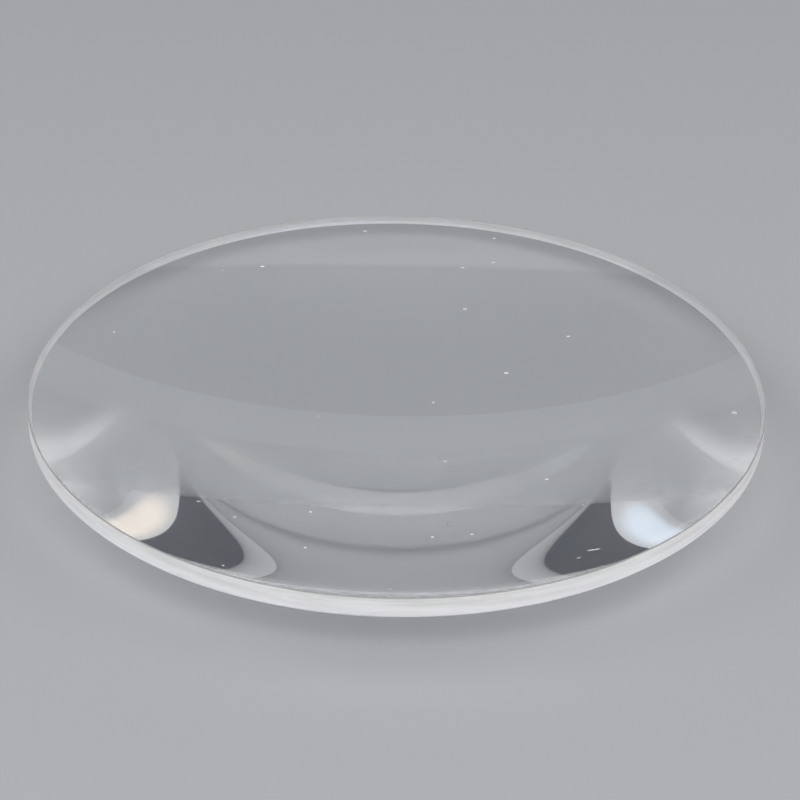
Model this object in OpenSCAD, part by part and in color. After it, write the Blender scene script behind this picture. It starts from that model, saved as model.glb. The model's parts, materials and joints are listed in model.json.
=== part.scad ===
// Plano-convex lens, ground and polished from one piece of crown glass.
//
// The flat face is up and the lens rests on the vertex of its convex face,
// as a loose lens lies on a bench. The vertex is the origin and +Z is the
// optical axis. All sizes are in millimetres.

/* [Optics] */
// Focal length in air
focal_length = 350; // [200:10:1000]
// Refractive index of the glass in yellow light
refractive_index = 1.5168; // [1.45:0.0001:1.9]

/* [Blank] */
// Diameter over the ground edge
diameter = 100; // [25:1:120]
// Thickness at the full diameter, before the bevels are ground
edge_thickness = 3; // [1.5:0.1:12]

/* [Protective bevels] */
// Width of the 45 degree bevel round the flat face
flat_bevel = 0.15; // [0.1:0.05:0.5]
// Width of the 45 degree bevel round the convex face
convex_bevel = 0.5; // [0.1:0.05:0.8]

/* [Hidden] */
$fn = 240;

edge_radius = diameter / 2;

// Lensmaker's equation for one flat and one spherical face
surface_radius = focal_length * (refractive_index - 1);

// Height of the convex face above its vertex, at a distance r from the axis
function sag(r) = surface_radius - sqrt(surface_radius ^ 2 - r ^ 2);

centre_thickness = sag(edge_radius) + edge_thickness;

// Radii at which the two polished faces meet their bevels
flat_face_radius = edge_radius - flat_bevel;
convex_face_radius = edge_radius - convex_bevel;

// Heights at which the ground edge meets its two bevels
edge_top = centre_thickness - flat_bevel;
edge_bottom = sag(convex_face_radius) + convex_bevel;

// The blank turned to size: a disc with a true cylindrical edge, a bevel
// round the flat top, and a 45 degree cone below that leaves just the
// second bevel once the convex face is ground.
module turned_blank() {
    rotate_extrude()
        polygon([
            [0, 0],
            [edge_radius - edge_bottom, 0],
            [edge_radius, edge_bottom],
            [edge_radius, edge_top],
            [flat_face_radius, centre_thickness],
            [0, centre_thickness]
        ]);
}

// The ball whose lowest cap is the convex face. It is turned so that its
// poles lie out at the sides and the cap is an even, unbroken stretch of it.
module grinding_sphere() {
    translate([0, 0, surface_radius])
        rotate([90, 0, 0])
            sphere(r = surface_radius);
}

// The finished lens: the blank ground to the sphere
module lens() {
    color([0.93, 0.97, 1.0, 0.35])
        intersection() {
            turned_blank();
            grinding_sphere();
        }
}

lens();
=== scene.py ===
"""A loose plano-convex lens of clear crown glass, flat face up, on a pale studio floor."""
import json
import math
from collections import namedtuple

import bpy
from mathutils import Matrix, Vector


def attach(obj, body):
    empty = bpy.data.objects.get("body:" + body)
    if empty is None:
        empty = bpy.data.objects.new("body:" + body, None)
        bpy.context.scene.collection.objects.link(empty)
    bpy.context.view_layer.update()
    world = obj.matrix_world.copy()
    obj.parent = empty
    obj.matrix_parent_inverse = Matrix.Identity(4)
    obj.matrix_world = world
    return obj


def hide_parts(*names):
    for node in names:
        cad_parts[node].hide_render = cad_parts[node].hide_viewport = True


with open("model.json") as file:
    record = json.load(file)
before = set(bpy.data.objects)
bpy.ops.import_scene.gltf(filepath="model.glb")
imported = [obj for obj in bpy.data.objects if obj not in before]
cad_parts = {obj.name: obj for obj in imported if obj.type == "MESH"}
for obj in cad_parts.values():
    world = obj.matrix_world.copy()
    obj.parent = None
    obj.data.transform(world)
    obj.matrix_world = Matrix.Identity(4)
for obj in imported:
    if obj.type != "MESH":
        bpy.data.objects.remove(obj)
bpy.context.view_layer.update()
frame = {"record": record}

MM = 0.001

# ---- sizes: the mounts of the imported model, and the named values of the CAD source ---------

mounts = {m["name"]: m for m in frame["record"]["mounts"]}
EDGE_RADIUS = mounts["ground_edge"]["dims"]["r_mm"] * MM
THICKNESS = mounts["flat_face"]["pos_m"][2]
EDGE_MIDDLE = mounts["ground_edge"]["pos_m"][2]
EDGE_LENGTH = mounts["ground_edge"]["dims"]["length_mm"] * MM
EDGE_TOP = EDGE_MIDDLE + EDGE_LENGTH / 2
EDGE_BOTTOM = EDGE_MIDDLE - EDGE_LENGTH / 2
FLAT_BEVEL = THICKNESS - EDGE_TOP
CONVEX_BEVEL = 0.5 * MM
FOCAL_LENGTH = 350 * MM
GLASS_IOR = 1.5168
SPHERE_RADIUS = FOCAL_LENGTH * (GLASS_IOR - 1)
CAP_RADIUS = EDGE_RADIUS - CONVEX_BEVEL
CAP_HEIGHT = EDGE_BOTTOM - CONVEX_BEVEL
FLAT_RADIUS = EDGE_RADIUS - FLAT_BEVEL

# ---- mesh ----------------------------------------------------------------------------------

SEGMENTS = 512
CONVEX_RINGS = 72
FLAT_RINGS = 16
WALL_RINGS = 12
BEVEL_RINGS = 3

# The slots of the lens's two materials
POLISHED = 0
GROUND = 1

# A point of a half section: where it is, the finish of the band that starts at it, and
# whether a sharp edge runs round there
Point = namedtuple("Point", "radius height finish sharp")


def lens_profile():
    """The lens's half section, from the vertex of the convex face out to the edge and back
    along the flat face to the axis."""
    points = []
    half_angle = math.asin(CAP_RADIUS / SPHERE_RADIUS)
    for i in range(CONVEX_RINGS):
        angle = half_angle * i / CONVEX_RINGS
        radius = SPHERE_RADIUS * math.sin(angle)
        height = SPHERE_RADIUS * (1 - math.cos(angle))
        points.append(Point(radius, height, POLISHED, sharp=False))
    stations = [
        ((CAP_RADIUS, CAP_HEIGHT), (EDGE_RADIUS, EDGE_BOTTOM), BEVEL_RINGS, GROUND),
        ((EDGE_RADIUS, EDGE_BOTTOM), (EDGE_RADIUS, EDGE_TOP), WALL_RINGS, GROUND),
        ((EDGE_RADIUS, EDGE_TOP), (FLAT_RADIUS, THICKNESS), BEVEL_RINGS, GROUND),
        ((FLAT_RADIUS, THICKNESS), (0, THICKNESS), FLAT_RINGS, POLISHED),
    ]
    for start, end, steps, finish in stations:
        for i in range(steps):
            t = i / steps
            radius = start[0] + (end[0] - start[0]) * t
            height = start[1] + (end[1] - start[1]) * t
            points.append(Point(radius, height, finish, sharp=(i == 0)))
    points.append(Point(0, THICKNESS, POLISHED, sharp=False))
    return points


def lathe(name, points, materials):
    """A closed body of revolution about the Z axis. The first and last points are its poles,
    and each point between them becomes a ring."""
    bottom, *rings, top = points
    poles = [(0, 0, bottom.height), (0, 0, top.height)]
    vertices = list(poles)
    for point in rings:
        for k in range(SEGMENTS):
            turn = 2 * math.pi * k / SEGMENTS
            vertices.append((point.radius * math.cos(turn), point.radius * math.sin(turn),
                             point.height))

    def at(ring, k):
        """The vertex at the place k round a ring"""
        return len(poles) + ring * SEGMENTS + k % SEGMENTS

    def ring_of(vertex):
        """The ring that a vertex is on, or -1 for a pole"""
        return (vertex - len(poles)) // SEGMENTS

    faces, finishes = [], []
    last = len(rings) - 1
    for k in range(SEGMENTS):
        faces.append((0, at(0, k + 1), at(0, k)))
        finishes.append(bottom.finish)
        faces.append((1, at(last, k), at(last, k + 1)))
        finishes.append(rings[last].finish)
    for ring in range(last):
        for k in range(SEGMENTS):
            faces.append((at(ring, k), at(ring, k + 1), at(ring + 1, k + 1), at(ring + 1, k)))
            finishes.append(rings[ring].finish)

    mesh = bpy.data.meshes.new(name)
    mesh.from_pydata(vertices, [], faces)
    mesh.polygons.foreach_set("material_index", finishes)
    mesh.polygons.foreach_set("use_smooth", [True] * len(faces))
    sharp_rings = {ring for ring, point in enumerate(rings) if point.sharp}
    for edge in mesh.edges:
        one, other = (ring_of(vertex) for vertex in edge.vertices)
        edge.use_edge_sharp = one == other and one in sharp_rings
    for material in materials:
        mesh.materials.append(material)
    mesh.validate()
    piece = bpy.data.objects.new(name, mesh)
    bpy.context.scene.collection.objects.link(piece)
    return piece


# ---- materials -----------------------------------------------------------------------------

# Cells a metre along x, y and z, for the patterns of the two finishes
LINT_CELLS = (200, 420, 420)
SMEAR_CELLS = (130, 130, 130)
STREAK_CELLS = (90, 90, 1300)
GRAIN_CELLS = (4200, 4200, 4200)
NICK_CELLS = (700, 700, 3000)

# Dust on the polished faces: the share of the cells that hold a speck, its greatest size in
# cells, how strong the smears are beside the lint, and how rough and how clear dust is
DUST_SHARE = 0.4
DUST_SIZE = 0.16
SMEAR_STRENGTH = 0.5
DUST_ROUGHNESS = 0.7
DUST_CLEARNESS = 0.3

GLASS_TINT = (0.99, 0.998, 1.0, 1)
GROUND_WHITE = (0.85, 0.85, 0.84, 1)
GROUND_GREY = (0.70, 0.70, 0.69, 1)
# Lighter, violet-tinted colours for the low part of the edge: a painted highlight
VIOLET_HIGHLIGHT_WHITE = (0.90, 0.895, 0.92, 1)
VIOLET_HIGHLIGHT_GREY = (0.79, 0.785, 0.81, 1)
NICK_COLOUR = (0.95, 0.95, 0.95, 1)
# The dark of the narrow bevel at the flat face: painted shade on the same ground glass as the
# edge
FLAT_BEVEL_SHADE = (0.22, 0.22, 0.22, 1)
THROUGH_COLOUR = (0.95, 0.95, 0.95, 1)

# The painted violet highlight, which makes the edge lighter low down, is full at the first
# height on the edge and gone at the second
HIGHLIGHT_FULL = EDGE_MIDDLE - 0.6 * MM
HIGHLIGHT_GONE = EDGE_MIDDLE + 0.3 * MM
GRIND_DEPTH = 0.02 * MM

# The share of the light that the ground glass passes, scattered
THROUGH_SHARE = 0.3


class Finish:
    """A new material, with short names for the few node types that the finishes use."""

    def __init__(self, name):
        self.material = bpy.data.materials.new(name)
        self.material.use_nodes = True
        self.tree = self.material.node_tree
        self.shader = self.tree.nodes["Principled BSDF"]
        self.place = self.add("ShaderNodeTexCoord").outputs["Object"]

    def add(self, kind, **settings):
        node = self.tree.nodes.new(kind)
        for key, value in settings.items():
            setattr(node, key, value)
        return node

    def plug(self, socket, value):
        """Give a socket a value, or link it to the socket that the value comes from"""
        if isinstance(value, bpy.types.NodeSocket):
            self.tree.links.new(value, socket)
        else:
            socket.default_value = value

    def math(self, operation, *values):
        node = self.add("ShaderNodeMath", operation=operation)
        for socket, value in zip(node.inputs, values):
            self.plug(socket, value)
        return node.outputs["Value"]

    def ramp(self, value, low, high, to_low=0.0, to_high=1.0):
        """value from low..high to to_low..to_high, held at both ends"""
        node = self.add("ShaderNodeMapRange", interpolation_type="SMOOTHSTEP")
        self.plug(node.inputs["Value"], value)
        self.plug(node.inputs["From Min"], low)
        self.plug(node.inputs["From Max"], high)
        self.plug(node.inputs["To Min"], to_low)
        self.plug(node.inputs["To Max"], to_high)
        return node.outputs["Result"]

    def mix(self, share, low, high):
        """The colour low where share is 0 and the colour high where it is 1"""
        node = self.add("ShaderNodeMix", data_type="RGBA")
        self.plug(node.inputs["Factor"], share)
        self.plug(node.inputs["A"], low)
        self.plug(node.inputs["B"], high)
        return node.outputs["Result"]

    def stretched(self, per_metre):
        """The place on the piece, scaled to so many cells a metre along x, y and z"""
        node = self.add("ShaderNodeMapping")
        self.plug(node.inputs["Vector"], self.place)
        self.plug(node.inputs["Scale"], per_metre)
        return node.outputs["Vector"]

    def noise(self, per_metre, detail, roughness=0.5):
        node = self.add("ShaderNodeTexNoise")
        self.plug(node.inputs["Vector"], self.stretched(per_metre))
        self.plug(node.inputs["Scale"], 1.0)
        self.plug(node.inputs["Detail"], detail)
        self.plug(node.inputs["Roughness"], roughness)
        return node.outputs["Fac"]

    def specks(self, per_metre, share, size):
        """Soft round specks in a share of the cells of a random pattern, each up to size cells
        across. The surface cuts most of them off centre, so they differ in size."""
        radius = size / 2
        soft_edge = size / 8
        cells = self.add("ShaderNodeTexVoronoi")
        self.plug(cells.inputs["Vector"], self.stretched(per_metre))
        self.plug(cells.inputs["Scale"], 1.0)
        chance = self.add("ShaderNodeSeparateColor")
        self.plug(chance.inputs["Color"], cells.outputs["Color"])
        reach = self.ramp(chance.outputs["Red"], 1.0 - share, 1.0, to_low=0.0, to_high=radius)
        inside = self.math("SUBTRACT", reach, cells.outputs["Distance"])
        return self.ramp(inside, 0.0, soft_edge)

    def bump(self, height, strength, distance):
        node = self.add("ShaderNodeBump")
        self.plug(node.inputs["Height"], height)
        self.plug(node.inputs["Strength"], strength)
        self.plug(node.inputs["Distance"], distance)
        self.plug(self.shader.inputs["Normal"], node.outputs["Normal"])

    def let_through(self, share, colour):
        """Let the surface also pass a share of the light, scattered"""
        through = self.add("ShaderNodeBsdfTranslucent")
        self.plug(through.inputs["Color"], colour)
        both = self.add("ShaderNodeMixShader")
        self.plug(both.inputs["Fac"], share)
        self.plug(both.inputs[1], self.shader.outputs["BSDF"])
        self.plug(both.inputs[2], through.outputs["BSDF"])
        output = self.tree.nodes["Material Output"]
        self.plug(output.inputs["Surface"], both.outputs["Shader"])


def polished_glass():
    """Clear crown glass with a fine polish and a little dust: fine lint and fainter smears."""
    finish = Finish("polished_glass")
    shader = finish.shader
    finish.plug(shader.inputs["IOR"], GLASS_IOR)
    finish.plug(shader.inputs["Base Color"], GLASS_TINT)
    lint = finish.specks(LINT_CELLS, DUST_SHARE, DUST_SIZE)
    smears = finish.specks(SMEAR_CELLS, DUST_SHARE, DUST_SIZE)
    faint_smears = finish.math("MULTIPLY", smears, SMEAR_STRENGTH)
    dust = finish.math("MAXIMUM", lint, faint_smears)
    roughness = finish.math("MULTIPLY", dust, DUST_ROUGHNESS)
    finish.plug(shader.inputs["Roughness"], roughness)
    clearness = finish.ramp(dust, 0.0, 1.0, to_low=1.0, to_high=DUST_CLEARNESS)
    finish.plug(shader.inputs["Transmission Weight"], clearness)
    return finish.material


def ground_glass():
    """The edge and bevels: glass ground with fine abrasive. It is white, with faint streaks
    round the edge as the wheel left them, short bright nicks and a painted violet highlight
    that makes it lighter low down. The narrow bevel at the flat face gets painted shade,
    which makes it darker."""
    finish = Finish("ground_glass")
    shader = finish.shader
    finish.plug(shader.inputs["IOR"], GLASS_IOR)
    split = finish.add("ShaderNodeSeparateXYZ")
    finish.plug(split.inputs["Vector"], finish.place)
    height = split.outputs["Z"]
    # Painted highlight: the low part of the edge is made lighter and violet
    violet_highlight = finish.ramp(height, HIGHLIGHT_FULL, HIGHLIGHT_GONE, to_low=1.0, to_high=0.0)
    white = finish.mix(violet_highlight, GROUND_WHITE, VIOLET_HIGHLIGHT_WHITE)
    grey = finish.mix(violet_highlight, GROUND_GREY, VIOLET_HIGHLIGHT_GREY)
    streaks = finish.noise(STREAK_CELLS, detail=4, roughness=0.65)
    grain = finish.noise(GRAIN_CELLS, detail=1)
    nicks = finish.specks(NICK_CELLS, share=0.30, size=0.5)
    colour = finish.mix(finish.ramp(streaks, low=0.38, high=0.62), grey, white)
    colour = finish.mix(nicks, colour, NICK_COLOUR)
    # Painted shade: the narrow bevel at the flat face is made dark
    painted_bevel_shade = finish.ramp(height, EDGE_TOP, EDGE_TOP + FLAT_BEVEL / 4)
    colour = finish.mix(painted_bevel_shade, colour, FLAT_BEVEL_SHADE)
    finish.plug(shader.inputs["Base Color"], colour)
    roughness = finish.ramp(streaks, low=0.3, high=0.7, to_low=0.68, to_high=0.5)
    finish.plug(shader.inputs["Roughness"], roughness)
    finish.bump(finish.math("ADD", grain, streaks), strength=0.25, distance=GRIND_DEPTH)
    finish.let_through(THROUGH_SHARE, THROUGH_COLOUR)
    return finish.material


lens = lathe("lens_glass", lens_profile(), [polished_glass(), ground_glass()])
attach(lens, "root")
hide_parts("lens")

# ---- floor, lights and camera --------------------------------------------------------------

FLOOR_COLOUR = (0.385, 0.39, 0.405, 1)
FLOOR_ROUGHNESS = 0.7
FLOOR_SHINE = 0.2
FLOOR_SIZE = 3.0
FLOOR_GAP = 0.02 * MM

# The floor is solid up to the first distance from the lens, in metres, and gone at the second
FLOOR_FADE = (0.45, 1.1)

# The wall gives way to the ceiling 28 degrees above the horizon, between these two sines
WALL_TOP = (0.4690, 0.4710)
WALL_COLOUR = (0.54, 0.545, 0.56, 1)
CEILING_COLOUR = (0.09, 0.095, 0.11, 1)

# A softbox is evenly bright up to the first distance from its middle and dark from the second,
# as shares of its width and height
PANEL_MIDDLE = (0.5, 0.5, 0)
PANEL_FADE = (0.2, 0.5)

WHITE = (1, 1, 1)
WARM_WHITE = (1.0, 0.80, 0.58)
COOL_WHITE = (0.62, 0.80, 1.0)

# Each softbox's name, place and size in metres, power in watts and colour
SOFTBOXES = [
    ("softbox_left", (-0.84, -0.12, 0.78), (1.5, 1.3), 11, WHITE),
    ("softbox_right", (0.84, -0.12, 0.78), (1.5, 1.3), 11, WHITE),
    ("softbox_front", (0, -1.0, 1.0), (2.6, 1.3), 44, WHITE),
    ("strip_left", (-0.70, 0.86, 0.37), (0.36, 0.42), 0.22, COOL_WHITE),
    ("strip_right", (0.70, 0.86, 0.37), (0.36, 0.42), 0.22, WARM_WHITE),
]


def pale_floor():
    """A sheet of pale card that fades into the wall with distance, so that no horizon shows
    from above. It lies a hair below the lens."""
    half = FLOOR_SIZE / 2
    mesh = bpy.data.meshes.new("floor")
    corners = [(-half, -half), (half, -half), (half, half), (-half, half)]
    mesh.from_pydata([(x, y, -FLOOR_GAP) for x, y in corners], [], [(0, 1, 2, 3)])
    finish = Finish("floor")
    finish.plug(finish.shader.inputs["Base Color"], FLOOR_COLOUR)
    finish.plug(finish.shader.inputs["Roughness"], FLOOR_ROUGHNESS)
    finish.plug(finish.shader.inputs["Specular IOR Level"], FLOOR_SHINE)
    distance = finish.add("ShaderNodeVectorMath", operation="LENGTH")
    finish.plug(distance.inputs[0], finish.place)
    solid_to, gone_at = FLOOR_FADE
    fade = finish.ramp(distance.outputs["Value"], solid_to, gone_at, to_low=1.0, to_high=0.0)
    finish.plug(finish.shader.inputs["Alpha"], fade)
    mesh.materials.append(finish.material)
    floor = bpy.data.objects.new("floor", mesh)
    bpy.context.scene.collection.objects.link(floor)


def softbox(name, place, size, power, colour):
    """A cloth panel aimed at the lens, bright in the middle and fading towards its edges"""
    light = bpy.data.lights.new(name, "AREA")
    light.shape = "RECTANGLE"
    light.size, light.size_y = size
    light.energy = power
    light.color = colour
    light.use_nodes = True
    tree = light.node_tree
    panel = tree.nodes.new("ShaderNodeNewGeometry")
    reach = tree.nodes.new("ShaderNodeVectorMath")
    reach.operation = "DISTANCE"
    reach.inputs[1].default_value = PANEL_MIDDLE
    fade = tree.nodes.new("ShaderNodeMapRange")
    fade.interpolation_type = "SMOOTHSTEP"
    fade.inputs["From Min"].default_value = PANEL_FADE[0]
    fade.inputs["From Max"].default_value = PANEL_FADE[1]
    fade.inputs["To Min"].default_value = 1.0
    fade.inputs["To Max"].default_value = 0.0
    tree.links.new(panel.outputs["Parametric"], reach.inputs[0])
    tree.links.new(reach.outputs["Value"], fade.inputs["Value"])
    tree.links.new(fade.outputs["Result"], tree.nodes["Emission"].inputs["Strength"])
    lamp = bpy.data.objects.new(name, light)
    lamp.location = place
    lamp.rotation_mode = "QUATERNION"
    lamp.rotation_quaternion = (-Vector(place)).to_track_quat("-Z", "Y")
    bpy.context.scene.collection.objects.link(lamp)


def studio():
    """Large softboxes at the sides and in front, two small ones behind, and a plain room with
    pale walls and a dark ceiling."""
    for name, place, size, power, colour in SOFTBOXES:
        softbox(name, place, size, power, colour)
    world = bpy.data.worlds.new("studio")
    world.use_nodes = True
    tree = world.node_tree
    direction = tree.nodes.new("ShaderNodeTexCoord")
    split = tree.nodes.new("ShaderNodeSeparateXYZ")
    height = tree.nodes.new("ShaderNodeMapRange")
    height.inputs["From Min"].default_value = WALL_TOP[0]
    height.inputs["From Max"].default_value = WALL_TOP[1]
    blend = tree.nodes.new("ShaderNodeMix")
    blend.data_type = "RGBA"
    blend.inputs["A"].default_value = WALL_COLOUR
    blend.inputs["B"].default_value = CEILING_COLOUR
    tree.links.new(direction.outputs["Generated"], split.inputs["Vector"])
    tree.links.new(split.outputs["Z"], height.inputs["Value"])
    tree.links.new(height.outputs["Result"], blend.inputs["Factor"])
    tree.links.new(blend.outputs["Result"], tree.nodes["Background"].inputs["Color"])
    bpy.context.scene.world = world


# The camera looks at the middle of the flat face from 31 degrees above its plane, a little
# over three diameters away. The shifts are shares of the picture's width.
VIEW_ELEVATION = math.radians(30.90)
VIEW_DISTANCE = 6.342 * EDGE_RADIUS
VIEW_ROLL = math.radians(0.897)
LENS_MM = 104.5
SENSOR_MM = 36
SHIFT = (0.0037, -0.0237)
CLIP = (0.01, 20)


def photo_camera():
    """The camera that the photo was taken with, as worked out from the lens's own outline"""
    camera = bpy.data.cameras.new("camera")
    camera.lens = LENS_MM
    camera.sensor_width = SENSOR_MM
    camera.shift_x, camera.shift_y = SHIFT
    camera.clip_start, camera.clip_end = CLIP
    eye = bpy.data.objects.new("camera", camera)
    back = Vector((0, -math.cos(VIEW_ELEVATION), math.sin(VIEW_ELEVATION)))
    eye.location = Vector((0, 0, THICKNESS)) + back * VIEW_DISTANCE
    eye.rotation_mode = "QUATERNION"
    roll = Matrix.Rotation(VIEW_ROLL, 3, "Z").to_quaternion()
    eye.rotation_quaternion = (-back).to_track_quat("-Z", "Y") @ roll
    bpy.context.scene.collection.objects.link(eye)
    bpy.context.scene.camera = eye


def light_paths():
    """Room for light that is totally reflected many times between the two faces, with its
    sharp reflections kept sharp."""
    scene = bpy.context.scene
    scene.view_settings.view_transform = "Standard"
    scene.cycles.blur_glossy = 0.0
    scene.cycles.max_bounces = 32
    scene.cycles.transmission_bounces = 32
    scene.cycles.glossy_bounces = 16
    scene.cycles.diffuse_bounces = 6


pale_floor()
studio()
photo_camera()
light_paths()
